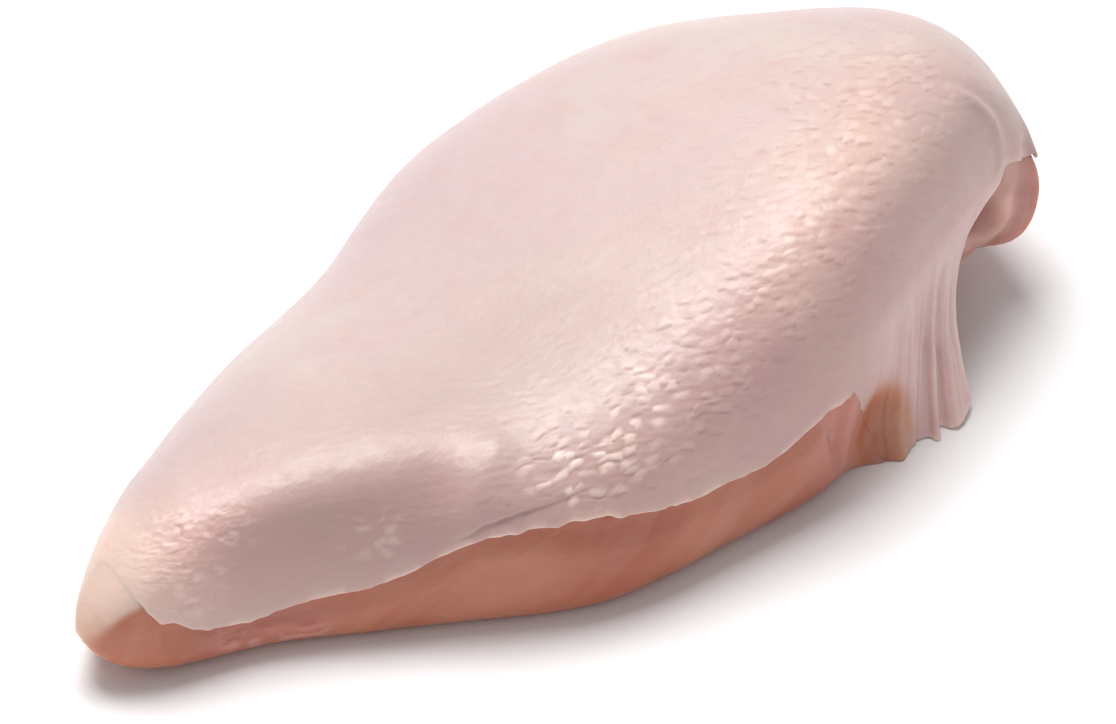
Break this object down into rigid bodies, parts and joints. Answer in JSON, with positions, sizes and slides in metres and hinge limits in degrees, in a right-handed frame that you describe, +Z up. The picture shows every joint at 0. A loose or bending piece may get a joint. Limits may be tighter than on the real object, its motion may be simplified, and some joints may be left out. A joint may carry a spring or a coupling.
{
  "type": "turkey breast",
  "caption": "Raw boneless turkey breast half with its skin on, skin side up: thin tip, thick shoulder end, bare strip of flesh along one side and a pleated flap of skin at one corner.",
  "frame": {"origin": "centre of the bounding box's bottom face, on the surface the part rests on", "axes": "+X from the thin tip to the thick shoulder end, +Y from the long side with the bare strip of flesh to the long side covered by skin, +Z up through the skin side"},
  "size_m": [0.3038, 0.1596, 0.0837],
  "materials": {
    "raw_flesh": "moist pink-orange raw flesh with fine grain along the length and a thin pale membrane",
    "raw_skin": "pale pink-cream raw skin with low follicle bumps and a soft damp sheen"
  },
  "bodies": {
    "root": {"meat": "raw_flesh", "skin": "raw_skin"}
  },
  "joints": []
}
